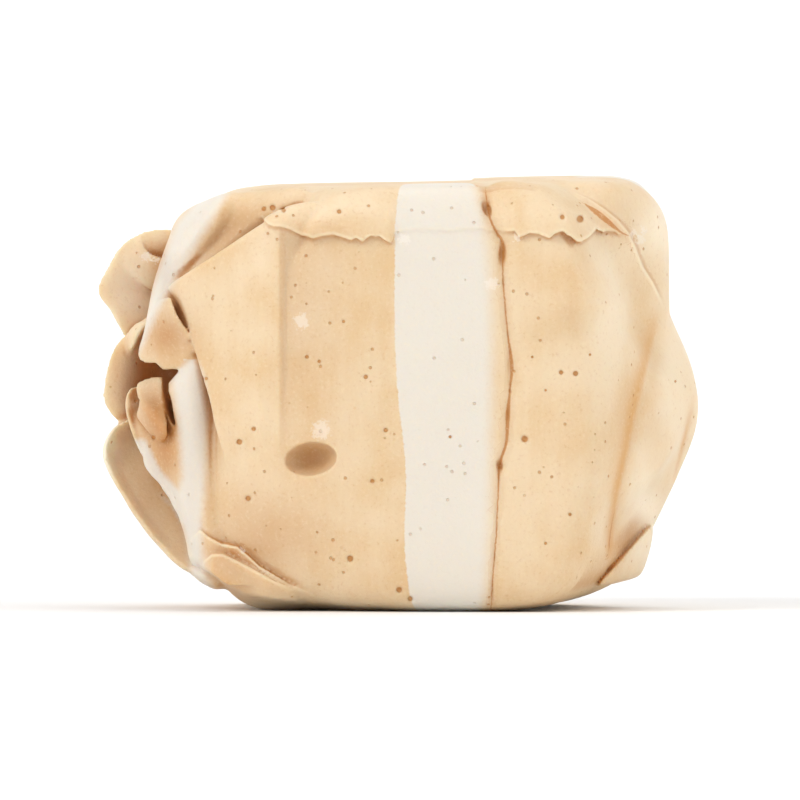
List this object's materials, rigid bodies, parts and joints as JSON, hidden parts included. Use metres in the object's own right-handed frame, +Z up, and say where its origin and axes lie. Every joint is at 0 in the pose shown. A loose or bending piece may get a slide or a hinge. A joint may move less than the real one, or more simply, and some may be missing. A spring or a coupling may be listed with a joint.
{
  "type": "butterscotch candy",
  "caption": "Unwrapped piece of soft pulled butterscotch candy: a stubby pressed plug with white stripes down its sides and thin folded ends.",
  "frame": {"origin": "middle of the outline, on the surface that the bottom cut face rests on", "axes": "+Z up, along the pulled rope, from cut face to cut face; +X to the right along the wrapper's twist; -Y the front with the widest white stripe"},
  "size_m": [0.0273, 0.0206, 0.0192],
  "materials": {
    "butterscotch": "soft satin candy, pale butterscotch tan, with fine air bubbles and faint vertical pull marks",
    "vanilla": "soft satin candy, creamy white, with fine air bubbles"
  },
  "bodies": {
    "root": {"taffy_body": "butterscotch", "white_stripe_front": "vanilla", "white_stripe_left": "vanilla", "white_stripe_right": "vanilla", "white_stripe_back": "vanilla"}
  },
  "joints": []
}
